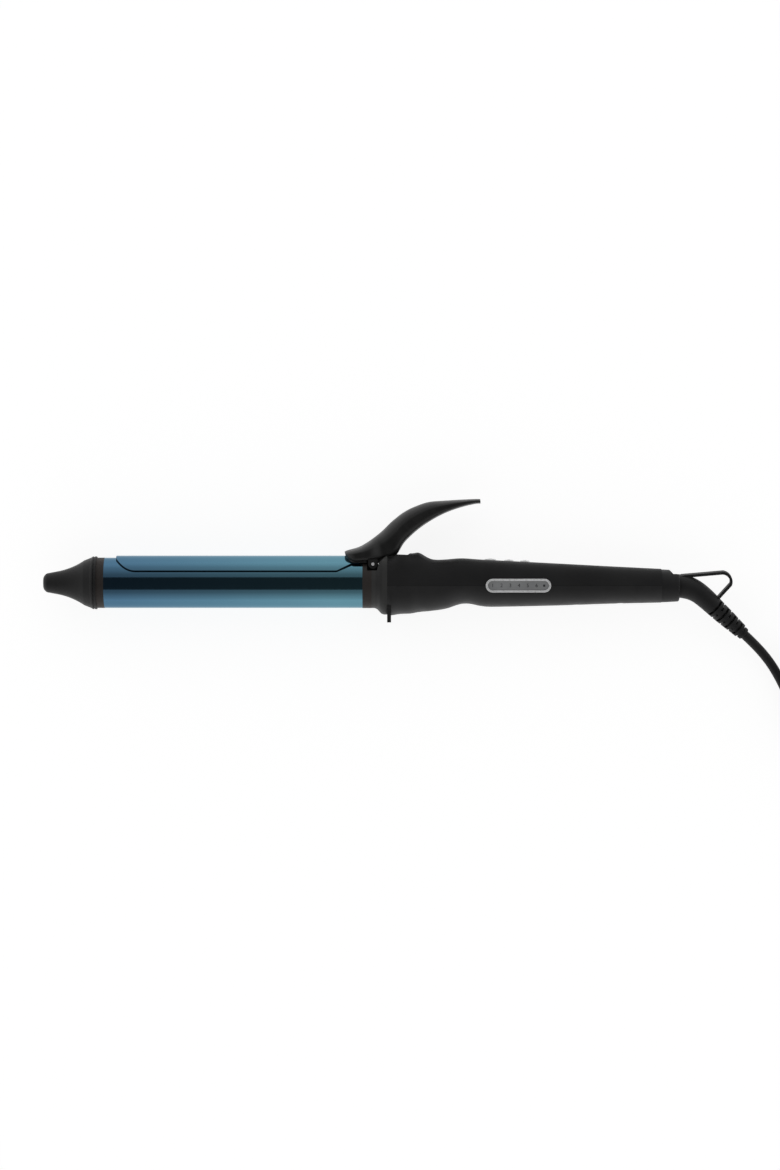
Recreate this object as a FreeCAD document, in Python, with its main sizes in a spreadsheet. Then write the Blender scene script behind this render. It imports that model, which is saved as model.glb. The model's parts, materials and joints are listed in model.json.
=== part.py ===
"""Spring-clamp curling iron with a cool tip, a thumb lever, a display handle and a swivel cord.

The iron lies on its side. Stations run along the barrel's axis from just ahead of the tip, sides run
across it with the lever at +, and heights are measured from the barrel's axis. The row frame has +X
towards the cord, +Y towards the lever and +Z up, with its origin under the middle of the iron.
"""
import FreeCAD, Part
import math
import os
import Sketcher
from FreeCAD import Placement, Rotation, Vector

SIZES = {
    # place in the row frame
    "mid_station": 224.1, "mid_side": 7.6, "axis_height": 16.8,
    # tip
    "nose": 0.0, "nose_radius": 6.2, "neck_station": 9.0, "neck_radius": 7.3, "flare_station": 26.0,
    "flare_radius": 14.3, "rim_station": 32.0, "rim_radius": 16.8, "tip_end": 34.0, "tip_wall": 1.6,
    "boss_radius": 3.2, "pilot_radius": 1.27, "boss_start": 18.0, "pilot_start": 21.0,
    "ring_radius": 16.0, "ring_bore": 1.4, "disc_end": 36.5, "spigot_radius": 14.85, "spigot_bore": 13.0,
    "spigot_end": 46.0, "screw_radius": 1.25, "screw_head": 2.8, "screw_head_high": 1.8,
    # barrel and what heats it
    "barrel_start": 39.0, "barrel_end": 202.6, "barrel_radius": 16.0, "barrel_bore": 14.9,
    "collar_end": 208.3, "collar_radius": 16.1, "collar_bore": 8.5, "collar_spigot_start": 192.0,
    "collar_rear_radius": 5.9, "collar_rear_bore": 5.0, "collar_rear_end": 214.0, "collar_flat": 7.7,
    "collar_flat_start": 205.5, "heat_start": 70.0, "heat_end": 170.0, "heat_outer": 14.7,
    "heat_outer_chord": 14.61, "heat_inner": 12.2, "heat_inner_chord": 11.66, "heat_flat": 1.6,
    "heat_floor": 3.6, "heater_start": 72.0, "heater_end": 168.0, "bead_radius": 1.3,
    "bead_station": 120.0, "fuse_radius": 1.8, "fuse_start": 130.0, "fuse_long": 10.0,
    # clamp plate, lever and hinge
    "clamp_inner": 16.35, "clamp_outer": 17.3, "clamp_edge": 7.7, "clamp_start": 46.5,
    "clamp_end": 200.5, "clamp_rear_edge": 12.6, "lever_over_clamp": 17.35, "lever_over_collar": 16.6,
    "lever_saddle_end": 205.8, "pin_station": 209.2, "pin_side": 11.8, "pin_radius": 1.0,
    "pin_hole": 1.05, "pin_half_long": 13.6, "ear_radius": 3.0, "ear_inner": 10.0, "ear_outer": 13.3,
    "lug_inner": 6.5, "lug_outer": 7.5, "lug_radius": 2.5, "lug_wide": 2.5, "bracket_start": 206.9,
    "bracket_end": 217.4, "bracket_floor": 7.8, "bracket_thick": 1.0, "bracket_screw_station": 214.9,
    "bracket_screw_side": 3.0, "wire_radius": 0.5, "coil_radius": 1.9,
    "guard_start": 205.9, "guard_top": 12.7, "guard_low": 11.2, "guard_inner": 7.7,
    "guard_outer": 8.8, "notch_foot": 211.8,
    # housing and handle
    "housing_start": 208.3, "handle_start": 218.2, "handle_end": 392.1, "wall": 2.0,
    "side_flat": 16.8, "squarer_top": 0.6, "squarer_skirt": 1.8, "parting": -2.0,
    "channel_half": 10.6, "channel_floor": 11.2, "channel_end": 231.2, "recess_front": 18.2,
    "recess_rear": 17.7, "recess_end": 235.2, "tub_wall": 1.8, "plate_thick": 2.5, "plate_top": -8.0,
    "plate_shoulder": -14.2, "plate_shoulder_half": 15.9, "plate_bottom": -25.1,
    "plate_bottom_half": 9.5, "plate_tongue_half": 11.0,
    # display and controls
    "display_mid": 301.15, "display_side": -1.8, "display_half_long": 20.55,
    "display_half_high": 4.2, "rim_wide": 1.0, "rim_proud": 0.4, "lens_sunk": 0.25,
    "board_start": 279.0, "board_end": 326.0, "board_low": 5.2, "board_high": 6.8,
    "board_half": 7.5, "plunger_top": 9.3, "stem_bottom": 9.95, "button_half_wide": 2.5,
    "button_gap": 0.2, "button_flange": 0.8, "button_flange_thick": 0.8,
    "power_mid": 283.7, "power_half": 3.55, "power_top": 15.25, "power_flange": 11.95,
    "up_mid": 295.5, "up_half": 2.9, "up_top": 14.65, "up_flange": 11.35,
    "down_mid": 305.6, "down_half": 3.05, "down_top": 14.2, "down_flange": 10.9,
    # tail, swivel and strain relief: sides from here on are from the swivel's axis
    "swivel_side": -1.95, "droop": 14.0, "cap_end": 403.5, "cap_radius": 10.3, "cap_lip": 6.2,
    "cap_lip_end": 395.0, "cap_bore": 7.9, "cap_spigot": 8.45, "cap_spigot_bore": 7.7,
    "cap_spigot_start": 388.0, "core_start": 373.0, "spindle_radius": 3.0, "flange_radius": 7.4,
    "flange_start": 389.4, "flange_end": 391.9, "core_neck": 5.9, "core_spigot": 4.5,
    "core_end": 401.5, "track_radius": 4.0, "track_long": 3.0, "live_start": 376.0,
    "neutral_start": 381.0, "brush_start": 374.0, "brush_end": 386.0, "block_radius": 8.2,
    "block_bore": 5.0, "brush_half": 1.0, "relief_start": 395.6, "relief_bend_start": 401.7,
    "relief_radius": 7.6, "relief_bend": 25.0, "relief_angle": 43.0, "relief_straight": 36.9,
    "ring_long": 2.3, "end_ring_radius": 4.1, "ring_rounding": 0.9, "slot_wide": 1.5,
    "slot_pitch": 3.3, "slot_core": 3.3, "slot_bridge": 3.4, "strap_half": 2.1,
    # cord and plug, heights from the surface
    "cord_radius": 3.0, "coil_station": 519.0, "coil_side": -72.0, "coil_inner": 27.0,
    "coil_outer": 45.0, "coil_low": 1.0, "coil_high": 19.0, "tie_half": 4.0, "tie_thick": 0.9,
    "plug_station": 562.0, "plug_side": 22.0, "plug_height": 7.4,
}

# outer form: station, top side, bottom side, half depth and power of each cross-section
HOUSING = [
    (208.3, 16.05, -16.05, 16.05, 2.0), (210.0, 16.1, -16.1, 16.1, 2.0),
    (211.7, 16.4, -16.7, 16.5, 2.1), (213.6, 17.0, -18.6, 17.1, 2.4),
    (215.3, 17.8, -19.9, 17.5, 2.7), (216.8, 17.9, -20.2, 17.6, 2.8), (218.2, 18.0, -20.1, 17.6, 2.8),
]
HANDLE = [
    (218.2, 18.0, -20.1, 17.6, 2.8), (222.9, 19.2, -20.2, 17.6, 2.8), (230.5, 19.7, -19.7, 17.4, 2.7),
    (235.5, 19.2, -19.1, 16.9, 2.6), (241.9, 17.2, -18.3, 16.0, 2.5), (249.6, 14.6, -17.5, 15.0, 2.4),
    (257.2, 15.0, -16.1, 14.2, 2.3), (264.5, 15.6, -13.5, 13.6, 2.3), (269.5, 15.4, -13.2, 13.5, 2.3),
    (276.0, 14.9, -14.6, 13.8, 2.3), (284.0, 14.5, -15.3, 14.0, 2.3), (303.0, 13.5, -15.0, 13.8, 2.3),
    (328.0, 12.2, -14.4, 13.0, 2.3), (360.0, 10.5, -13.3, 11.8, 2.2), (392.1, 8.9, -12.6, 10.6, 2.1),
]
# lever: station and side of each cross-section's top, then of its bottom, half width and power
LEVER = [
    (191.9, 19.2, 192.1, 16.2, 6.5, 2.2), (194.3, 20.8, 194.5, 13.9, 12.0, 2.3),
    (197.5, 22.0, 197.5, 12.8, 13.1, 2.4), (201.3, 23.3, 201.5, 12.6, 13.25, 2.3),
    (207.4, 27.0, 208.9, 12.6, 13.25, 2.2), (210.8, 29.5, 213.2, 12.9, 10.3, 2.2),
    (214.2, 32.2, 217.8, 14.4, 10.1, 2.1), (221.0, 38.8, 224.0, 17.2, 10.0, 2.1),
    (224.6, 41.8, 227.2, 22.9, 9.7, 2.1), (228.0, 44.4, 230.6, 27.2, 9.4, 2.1),
    (236.2, 48.6, 238.8, 34.6, 9.0, 2.1), (245.7, 51.5, 248.0, 40.7, 8.9, 2.1),
    (255.9, 52.3, 257.4, 45.3, 8.9, 2.1), (266.1, 52.9, 267.1, 48.5, 8.9, 2.1),
    (274.0, 53.2, 274.6, 50.1, 8.3, 2.1), (277.2, 53.2, 277.4, 50.3, 7.3, 2.1),
]
# plug: distance along it, half width, half height and power of each cross-section
PLUG = [
    (-14, 3.4, 3.4, 2.0), (-2, 4.2, 4.0, 2.0), (4, 5.6, 5.0, 2.2), (9, 9.3, 6.4, 2.5),
    (15, 11.7, 7.2, 2.7), (26, 12.2, 7.2, 2.8), (33, 10.8, 7.0, 2.8), (36, 10.2, 6.8, 2.8),
]
TABLES = {
    "housing": (("station", "top", "bottom", "half", "power"), HOUSING),
    "handle": (("station", "top", "bottom", "half", "power"), HANDLE),
    "lever": (("top_station", "top", "bottom_station", "bottom", "half", "power"), LEVER),
    "plug": (("along", "half", "high", "power"), PLUG),
}

doc = FreeCAD.newDocument("curling_iron")
sheet = doc.addObject("Spreadsheet::Sheet", "Sizes")
sub_parts = []


def fill_sheet():
    """Every driving dimension, and every cross-section of the lofted forms, as an aliased cell."""
    cells = dict(SIZES)
    for name, (columns, rows) in TABLES.items():
        for index, values in enumerate(rows):
            for column, value in zip(columns, values):
                cells["%s_%s_%d" % (name, column, index)] = value
    for row, (alias, value) in enumerate(cells.items(), 1):
        sheet.set("A%d" % row, alias)
        sheet.set("B%d" % row, str(value))
        sheet.setAlias("B%d" % row, alias)
    doc.recompute()


def size(alias):
    """One dimension, read back from the sheet."""
    return float(sheet.get(alias))


def number(term):
    """Value of a term: a number, or a sum and difference of sheet names and numbers as text."""
    if not isinstance(term, str):
        return float(term)
    total = 0.0
    sign = 1.0
    for word in term.split():
        if word in "+-":
            sign = 1.0 if word == "+" else -1.0
        else:
            total += sign * (size(word) if word[0].isalpha() else float(word))
    return total


def formula(term):
    """The same term as an expression on the sheet's cells."""
    if not isinstance(term, str):
        return "%g" % term
    return " ".join("Sizes." + word if word[0].isalpha() else word for word in term.split())


def less(term, other):
    """One term less another, whose signs are turned round."""
    swapped = [{"+": "-", "-": "+"}.get(word, word) for word in other.split()]
    return "%s - %s" % (term, " ".join(swapped))


def add_sub_part(item, name, about="barrel"):
    """Name a finished piece and place it in the row frame.

    It is drawn about the barrel's axis, or about the tail's axis (turned down with the swivel if it is
    about "swivel"), or with its heights from the surface.
    """
    item.Label = name
    side = "swivel_side - mid_side" if about in ("tail", "swivel") else "0 - mid_side"
    height = "0" if about == "surface" else "axis_height"
    turn = "droop" if about == "swivel" else "0"
    place = "create(<<placement>>; create(<<vector>>; %s; %s; %s);" % (
        formula("0 - mid_station"), formula(side), formula(height))
    turned_by = " create(<<rotation>>; create(<<vector>>; 1; 0; 0); %s))" % formula(turn)
    item.setExpression("Placement", place + turned_by)
    sub_parts.append(item)
    return item


# ---- sketches and the features made from them ----

def side_geometry(corner, following):
    """Line or arc from one corner of an outline to the next, and which of its ends comes first."""
    first = Vector(number(corner[0]), number(corner[1]), 0)
    last = Vector(number(following[0]), number(following[1]), 0)
    if len(corner) == 2:
        return Part.LineSegment(first, last), (1, 2)
    middle = Vector(number(corner[2]), number(corner[3]), 0)
    turn = (middle - first).cross(last - middle).z
    if turn < 0:
        first, last = last, first
    circle = Part.Arc(first, middle, last).toShape().Curve
    ends = [math.atan2(p.y - circle.Center.y, p.x - circle.Center.x) for p in (first, last)]
    if ends[1] < ends[0]:
        ends[1] += 2 * math.pi
    flat = Part.Circle(circle.Center, Vector(0, 0, 1), circle.Radius)
    return Part.ArcOfCircle(flat, ends[0], ends[1]), ((1, 2) if turn >= 0 else (2, 1))


def draw(sketch, outline):
    """A closed outline with every corner bound to the sheet.

    A corner is (x, y), or (x, y, x, y) where the side that leaves it is an arc through the second point.
    """
    sides = []
    for index, corner in enumerate(outline):
        geometry, ends = side_geometry(corner, outline[(index + 1) % len(outline)])
        sides.append((sketch.addGeometry(geometry, False), ends))
    for index, (side, ends) in enumerate(sides):
        after, after_ends = sides[(index + 1) % len(sides)]
        sketch.addConstraint(Sketcher.Constraint("Coincident", side, ends[1], after, after_ends[0]))
    for corner, (side, ends) in zip(outline, sides):
        bind_point(sketch, side, ends[0], corner[0], corner[1])
        if len(corner) == 4:
            spot = Part.Point(Vector(number(corner[2]), number(corner[3]), 0))
            middle = sketch.addGeometry(spot, True)
            bind_point(sketch, middle, 1, corner[2], corner[3])
            sketch.addConstraint(Sketcher.Constraint("PointOnObject", middle, 1, side))


def bind_point(sketch, geometry, end, across, up):
    """Hold a point of a sketch at two terms of the sheet."""
    for kind, term in (("DistanceX", across), ("DistanceY", up)):
        rule = Sketcher.Constraint(kind, -1, 1, geometry, end, number(term))
        index = sketch.addConstraint(rule)
        sketch.setExpression("Constraints[%d]" % index, formula(term))


def new_sketch(body, name, outlines, plane, offset):
    """Sketch on one of the body's origin planes, moved along its normal by offset."""
    sketch = body.newObject("Sketcher::SketchObject", name)
    origin = [item for item in body.Origin.OriginFeatures if item.Role == plane][0]
    sketch.AttachmentSupport = [(origin, "")]
    sketch.MapMode = "FlatFace"
    sketch.setExpression("AttachmentOffset.Base.z", formula(offset))
    for outline in outlines:
        draw(sketch, outline)
    return sketch


def turned(name, outline):
    """Body turned about the axis from a half outline of (station, radius)."""
    body = doc.addObject("PartDesign::Body", name)
    sketch = new_sketch(body, name + "_outline", [outline], "XY_Plane", "0")
    revolution = body.newObject("PartDesign::Revolution", name + "_turn")
    revolution.Profile = sketch
    revolution.ReferenceAxis = (sketch, ["H_Axis"])
    revolution.Angle = 360
    return body


def padded(name, outlines, plane, offset, length, both_ways=False):
    """Body padded from outlines: along +Z, +X or, for XZ_Plane, -Y from its offset."""
    body = doc.addObject("PartDesign::Body", name)
    sketch = new_sketch(body, name + "_outline", outlines, plane, offset)
    pad = body.newObject("PartDesign::Pad", name + "_pad")
    pad.Profile = sketch
    pad.SideType = "Symmetric" if both_ways else "One side"
    pad.setExpression("Length", formula(length))
    return body


def capsule(mid, side, half_long, half_high):
    """Outline of a slot with round ends, along the first direction."""
    left_end = less(mid, half_long)
    right_end = "%s + %s" % (mid, half_long)
    left = "%s + %s" % (left_end, half_high)
    right = less(right_end, half_high)
    low = less(side, half_high)
    high = "%s + %s" % (side, half_high)
    return [(left, low), (right, low, right_end, side), (right, high), (left, high, left_end, side)]


# ---- primitives and booleans ----

def at(item, station, side, height):
    """Bind an item's place to three terms."""
    for letter, term in zip("xyz", (station, side, height)):
        item.setExpression("Placement.Base." + letter, formula(term))


def block(name, low, high):
    """Box between two corners, each three terms."""
    item = doc.addObject("Part::Box", name)
    at(item, *low)
    for prop, first, last in zip(("Length", "Width", "Height"), low, high):
        item.setExpression(prop, "(%s) - (%s)" % (formula(last), formula(first)))
    return item


def rod(name, radius, start, length, axis="x"):
    """Cylinder along one direction from its start point."""
    item = doc.addObject("Part::Cylinder", name)
    turns = {"x": Rotation(Vector(0, 1, 0), 90), "y": Rotation(Vector(1, 0, 0), -90), "z": Rotation()}
    item.Placement = Placement(Vector(), turns[axis])
    item.setExpression("Radius", formula(radius))
    item.setExpression("Height", formula(length))
    at(item, *start)
    return item


def fused(name, items):
    """Union of several items."""
    item = doc.addObject("Part::MultiFuse", name)
    item.Shapes = items
    return item


def shared(name, items):
    """What several items have in common."""
    item = doc.addObject("Part::MultiCommon", name)
    item.Shapes = items
    return item


def cut(name, base, tools):
    """An item less its tools."""
    item = doc.addObject("Part::Cut", name)
    item.Base = base
    item.Tool = tools[0] if len(tools) == 1 else fused(name + "_tools", tools)
    return item


def grouped(name, items):
    """Separate identical solids as one piece."""
    item = doc.addObject("Part::Compound", name)
    item.Links = items
    return item


def fixed(name, shape):
    """Feature that holds a shape worked out here."""
    item = doc.addObject("Part::Feature", name)
    item.Shape = shape
    return item


# ---- lofted forms, lead and cord tubes ----

def oval_arc(oval, first, last):
    """Part of a superellipse, from one angle to another, as a curve with evenly spaced knots."""
    centre, up, across, high, wide, powers = oval
    steps = 18
    points = []
    for step in range(steps + 1):
        angle = first + (last - first) * step / steps
        cosine, sine = math.cos(angle), math.sin(angle)
        power = powers[1] if sine > 0 else powers[0]
        over = wide * math.copysign(abs(cosine) ** (2 / power), cosine)
        rise = high * math.copysign(abs(sine) ** (2 / power), sine)
        points.append(centre + up * rise + across * over)
    curve = Part.BSplineCurve()
    curve.interpolate(Points=points, Parameters=[step / steps for step in range(steps + 1)])
    return curve.toShape()


def whole_section(oval):
    """Closed superellipse as two curves that meet away from every opening."""
    start = math.radians(-55)
    turn = start + math.pi
    return Part.Wire([oval_arc(oval, start, turn), oval_arc(oval, turn, start + 2 * math.pi)])


def half_section(oval, level, upper):
    """The part of a superellipse above or below a level, closed by a straight line."""
    share = (level - oval[0].y) / oval[3]
    power = oval[5][1] if share > 0 else oval[5][0]
    angle = math.asin(math.copysign(abs(share) ** (power / 2), share))
    if upper:
        curve = oval_arc(oval, angle, math.pi - angle)
    else:
        curve = oval_arc(oval, math.pi - angle, 2 * math.pi + angle)
    ends = [vertex.Point for vertex in curve.Vertexes]
    return Part.Wire([curve, Part.LineSegment(ends[-1], ends[0]).toShape()])


def read_rows(table):
    """A table's rows, read back from the sheet."""
    columns, rows = TABLES[table]
    return [[size("%s_%s_%d" % (table, column, index)) for column in columns]
            for index in range(len(rows))]


def smooth_value(places, values, place):
    """Value at a place on a smooth curve through a column, which never overshoots its points."""
    steps = [(b - a) / (q - p) for a, b, p, q in zip(values, values[1:], places, places[1:])]
    slopes = [steps[0]]
    slopes += [2 * a * b / (a + b) if a * b > 0 else 0.0 for a, b in zip(steps, steps[1:])]
    slopes.append(steps[-1])
    index = max(i for i in range(len(steps)) if i == 0 or places[i] <= place)
    long = places[index + 1] - places[index]
    share = (place - places[index]) / long
    rise = values[index + 1] - values[index]
    ease = share * share * (3 - 2 * share)
    bow = slopes[index] * share * (1 - share) ** 2 - slopes[index + 1] * share * share * (1 - share)
    return values[index] + rise * ease + long * bow


def even_rows(rows, places, spacing):
    """Rows at even distances along a form, with both ends."""
    count = max(2, round((places[-1] - places[0]) / spacing))
    spots = [places[0] + (places[-1] - places[0]) * step / count for step in range(count + 1)]
    columns = list(zip(*rows))
    return [[smooth_value(places, column, spot) for column in columns] for spot in spots]


def table_ovals(table, grow, spacing=6.0):
    """A form's even cross-sections, grown outwards, and moved past both ends if they make a tool."""
    rows = read_rows(table)
    rows = even_rows(rows, [row[0] for row in rows], min(spacing, (rows[-1][0] - rows[0][0]) / 6))
    ovals = []
    for index, (station, top, bottom, half, power) in enumerate(rows):
        if grow and index in (0, len(rows) - 1):
            station += 1 if index else -1
        centre = Vector(station, (top + bottom) / 2, 0)
        high = (top - bottom) / 2 + grow
        powers = (power, power + size("squarer_top") * min(1.0, (power - 2.0) / 0.3))
        ovals.append((centre, Vector(0, 1, 0), Vector(0, 0, 1), high, half + grow, powers))
    return ovals


def form(name, table, grow=0.0):
    """Loft through a table's whole cross-sections."""
    sections = [whole_section(oval) for oval in table_ovals(table, grow)]
    return fixed(name, Part.makeLoft(sections, True, False))


def half_form(name, table, grow, level, upper):
    """Loft through the parts of a table's cross-sections above or below a level."""
    sections = [half_section(oval, level, upper) for oval in table_ovals(table, grow)]
    return fixed(name, Part.makeLoft(sections, True, False))


def lever_form():
    """Loft of the swan-neck lever through its leaning cross-sections."""
    rows = read_rows("lever")
    middles = [Vector(row[0] + row[2], row[1] + row[3], 0) * 0.5 for row in rows]
    places = [0.0]
    for before, after in zip(middles, middles[1:]):
        places.append(places[-1] + (after - before).Length)
    sections = []
    for top_station, top, bottom_station, bottom, half, power in even_rows(rows, places, 4.5):
        high = Vector(top_station, top, 0)
        low = Vector(bottom_station, bottom, 0)
        up = (high - low).normalize()
        powers = (power + size("squarer_skirt"), power)
        oval = ((high + low) / 2, up, Vector(0, 0, 1), (high - low).Length / 2, half, powers)
        sections.append(whole_section(oval))
    return fixed("lever_form", Part.makeLoft(sections, True, False))


def bent_path(points):
    """Straight runs joined by tangent arcs as large as the runs allow."""
    edges = []
    start = points[0]
    for before, corner, after in zip(points, points[1:], points[2:]):
        ahead = (corner - before).normalize()
        onward = (after - corner).normalize()
        reach = 0.45 * min((corner - before).Length, (after - corner).Length)
        half_turn = ahead.getAngle(onward) / 2
        radius = reach / math.tan(half_turn)
        enter = corner - ahead * reach
        leave = corner + onward * reach
        inward = (onward - ahead).normalize()
        middle = corner + inward * (radius / math.cos(half_turn) - radius)
        edges.append(Part.LineSegment(start, enter).toShape())
        edges.append(Part.Arc(enter, middle, leave).toShape())
        start = leave
    edges.append(Part.LineSegment(start, points[-1]).toShape())
    return Part.Wire(edges)


def tube(points, radius):
    """Round solid along a bent path."""
    path = bent_path([Vector(*point) for point in points])
    first = Vector(*points[0])
    along = Vector(*points[1]) - first
    ring = Part.Wire([Part.Circle(first, along, radius).toShape()])
    return path.makePipeShell([ring], True, False)


def leads(name, routes, radius):
    """Several insulated wires as one piece."""
    solids = [tube(route, radius) for route in routes]
    return add_sub_part(fixed(name, Part.makeCompound(solids)), name)


# ---- the pieces ----

def make_tip():
    """Flared cool tip, its insulating ring and the screw that holds both to the barrel's end."""
    outline = [
        ("nose", "0"), ("nose", "nose_radius - 2.8", "nose + 1.0", "nose_radius - 1.15"),
        ("nose + 2.5", "nose_radius - 0.1"), ("neck_station", "neck_radius", 17.4, 9.75),
        ("flare_station", "flare_radius"), ("rim_station - 1.6", "rim_radius - 0.75",
                                            "rim_station - 0.75", "rim_radius - 0.2"),
        ("rim_station", "rim_radius"), ("rim_station + 0.2", "rim_radius - 0.4"),
        ("rim_station + 0.6", "rim_radius - 0.4"), ("rim_station + 0.8", "rim_radius"),
        ("tip_end", "rim_radius"), ("tip_end", "rim_radius - tip_wall"),
        ("tip_end - 3.2", "rim_radius - tip_wall - 1.0"), ("boss_start", "boss_radius + 4.4"),
        ("boss_start", "boss_radius"), ("tip_end", "boss_radius"), ("tip_end", "pilot_radius"),
        ("pilot_start", "pilot_radius"), ("pilot_start", "0"),
    ]
    add_sub_part(turned("cool_tip", outline), "cool_tip")
    ring = [
        ("tip_end", "ring_bore"), ("tip_end", "ring_radius"), ("barrel_start", "ring_radius"),
        ("barrel_start", "spigot_radius"), ("spigot_end", "spigot_radius"),
        ("spigot_end", "spigot_bore"), ("disc_end", "spigot_bore"), ("disc_end", "ring_bore"),
    ]
    add_sub_part(turned("tip_ring", ring), "tip_ring")
    screw = [
        ("pilot_start + 1", "0"), ("pilot_start + 1", "screw_radius"), ("disc_end", "screw_radius"),
        ("disc_end", "screw_head"), ("disc_end + screw_head_high", "screw_head - 0.6"),
        ("disc_end + screw_head_high", "0"),
    ]
    add_sub_part(turned("tip_screw", screw), "tip_screw")


def make_barrel():
    """Barrel tube and the collar that joins it to the housing."""
    tube_outline = [
        ("barrel_start", "barrel_bore"), ("barrel_start", "barrel_radius"),
        ("barrel_end", "barrel_radius"), ("barrel_end", "barrel_bore"),
    ]
    add_sub_part(turned("barrel_tube", tube_outline), "barrel_tube")
    collar = turned("collar_blank", [
        ("collar_spigot_start", "collar_bore"), ("collar_spigot_start", "spigot_radius"),
        ("barrel_end", "spigot_radius"), ("barrel_end", "collar_radius"),
        ("collar_end", "collar_radius"), ("collar_end", "collar_rear_radius"),
        ("collar_rear_end", "collar_rear_radius"), ("collar_rear_end", "collar_rear_bore"),
        ("collar_end - 2", "collar_rear_bore"), ("collar_end - 2", "collar_bore"),
    ])
    flat = block("collar_flat_tool", ("collar_flat_start", "collar_flat", -20),
                 ("collar_end + 1", 20, 20))
    add_sub_part(cut("barrel_collar", collar, [flat]), "barrel_collar")


def make_heat():
    """Ceramic heater between two spreaders that press on the barrel's bore, with its sensors."""
    for name, sign in (("heat_spreader_upper", ""), ("heat_spreader_lower", "0 - ")):
        outer = [(sign + "heat_flat", "0 - heat_outer_chord", sign + "heat_outer", 0),
                 (sign + "heat_flat", "heat_outer_chord")]
        inner = [(sign + "heat_floor", "0 - heat_inner_chord", sign + "heat_inner", 0),
                 (sign + "heat_floor", "heat_inner_chord")]
        spreader = padded(name, [outer, inner], "YZ_Plane", "heat_start", less("heat_end", "heat_start"))
        add_sub_part(spreader, name)
    heater = block("heater_plate", ("heater_start", -1.5, -7), ("heater_end", 1.5, 7))
    terminals = [block("heater_terminal", ("heater_end", -0.4, z - 1), ("heater_end + 6", 0.4, z + 1))
                 for z in (-4, 4)]
    add_sub_part(fused("ceramic_heater_set", [heater] + terminals), "ceramic_heater")
    bead = doc.addObject("Part::Sphere", "bead")
    bead.setExpression("Radius", formula("bead_radius"))
    at(bead, "bead_station", "0 - heat_floor - bead_radius", 3)
    add_sub_part(grouped("thermistor_set", [bead]), "thermistor")
    fuse = rod("fuse_can", "fuse_radius", ("fuse_start", "0 - heat_floor - fuse_radius", -3.5),
               "fuse_long")
    add_sub_part(grouped("fuse_set", [fuse]), "thermal_fuse")
    leads("heater_leads", [
        [(174, 0, side), (196, 0, side), (222, -1.5, side), (244, -1, side * 1.3),
         (262, 1.5, side * 1.3), (281, 4.5, side)] for side in (-4, 4)], 0.7)
    leads("sensor_leads", [
        [(121.4, -4.9, 3), (150, -4.9, 2), (194, -3.1, side), (217, -3.1, side),
         (233, -4.5, side * 2.8), (257, -4, side * 2.9), (272, 1, side * 2.2), (282, 4.75, side)]
        for side in (-1.6, 1.6)], 0.45)


def make_clamp():
    """Curved clamp plate on the lever, which turns on a pin in a spring-loaded bracket."""
    sleeve = turned("clamp_sleeve", [
        ("clamp_start", "clamp_inner"), ("clamp_start", "clamp_outer"),
        ("clamp_end", "clamp_outer"), ("clamp_end", "clamp_inner")])
    side_view = padded("clamp_side_view", [[
        ("clamp_start", "clamp_outer + 1"), ("clamp_start", "clamp_outer - 1.6", 50.2, 11.6),
        ("clamp_start + 12.7", "clamp_edge"), ("clamp_end - 14.2", "clamp_edge"),
        ("clamp_end - 4.3", "clamp_rear_edge"), ("clamp_end", "clamp_rear_edge"),
        ("clamp_end", "clamp_outer + 1")]], "XY_Plane", "0", 40, True)
    plate = shared("clamp_plate_blank", [sleeve, side_view])
    places = ("clamp_end - 6", "clamp_end - 2.2")
    holes = [rod("clamp_hole", 0.9, (station, 10, 0), 10, "y") for station in places]
    seats = [rod("clamp_seat", 1.5, (station, "clamp_inner - 1", 0), 1.7, "y") for station in places]
    add_sub_part(cut("clamp_plate_cut", plate, holes + seats), "clamp_plate")
    screws = []
    for station in places:
        head = rod("clamp_screw_head", 1.5, (station, "clamp_inner + 0.05", 0), 0.65, "y")
        shank = rod("clamp_screw_shank", 0.9, (station, "clamp_inner + 0.7", 0), 3.0, "y")
        screws.append(fused("clamp_screw", [head, shank]))
    add_sub_part(grouped("clamp_screw_set", screws), "clamp_screws")

    ears = []
    for low, high in (("0 - ear_outer", "0 - ear_inner"), ("ear_inner", "ear_outer")):
        ears.append(rod("ear", "ear_radius", ("pin_station", "pin_side", low),
                        "ear_outer - ear_inner", "z"))
        ears.append(block("ear_web", ("pin_station - ear_radius", "pin_side", low),
                          ("pin_station + ear_radius", "pin_side + 3", high)))
    body = fused("lever_blank", [lever_form()] + ears)
    saddle = rod("saddle_tool", "lever_over_clamp", (180, 0, 0), "clamp_end + 0.2 - 180")
    step = rod("collar_tool", "lever_over_collar", (190, 0, 0), "lever_saddle_end - 190")
    pocket = padded("lever_pocket", [[
        (204.6, 4), (204.6, 20), (213.4, 25), (213.4, 4)]], "XY_Plane", "0", 18, True)
    throat = padded("lever_throat", [[(213, 4), (213, 25.0), (224, 35.5), (224, 4)]],
                    "XY_Plane", "0", 13, True)
    pin_hole = rod("lever_pin_hole", "pin_radius", ("pin_station", "pin_side", -20), 40, "z")
    pilots = [rod("clamp_pilot", 0.9, (station, 10, 0), "clamp_inner + 3.7 - 10", "y")
              for station in places]
    lever = cut("lever_cut", body, [saddle, step, pocket, throat, pin_hole] + pilots)
    add_sub_part(lever, "lever")
    pin = rod("pin_rod", "pin_radius", ("pin_station", "pin_side", "0 - pin_half_long"),
              "pin_half_long + pin_half_long", "z")
    add_sub_part(grouped("pin_set", [pin]), "hinge_pin")


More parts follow.
